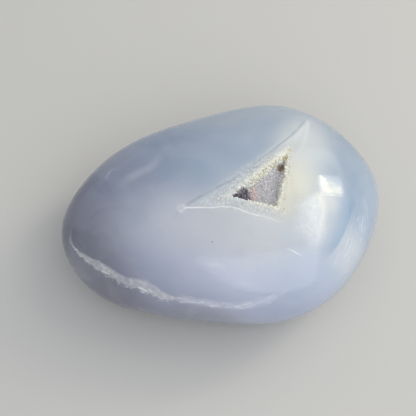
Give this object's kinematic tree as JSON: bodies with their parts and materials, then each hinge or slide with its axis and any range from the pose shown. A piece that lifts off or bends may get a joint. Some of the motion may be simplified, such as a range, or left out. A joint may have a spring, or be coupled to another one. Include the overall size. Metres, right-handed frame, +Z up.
{
  "type": "blue chalcedony pebble",
  "caption": "Polished pebble of translucent pale blue chalcedony with a small triangular pocket of quartz crystals in its top, resting on a small flat spot.",
  "frame": {"origin": "centre of the pebble's box, at the flat spot that it rests on", "axes": "+X along the long side towards the broad end, +Y towards the far side from the bevelled edge, +Z up out of the flat spot, towards the face with the pocket"},
  "size_m": [0.0557, 0.0395, 0.0226],
  "materials": {
    "chalcedony": "polished, milky and translucent, pale blue with soft cloudy bands",
    "quartz_druse": "sparkling small crystals, cream white at the rim and purple grey inside, with brown stains"
  },
  "bodies": {
    "root": {"stone": "chalcedony", "druzy_crust": "quartz_druse"}
  },
  "joints": []
}
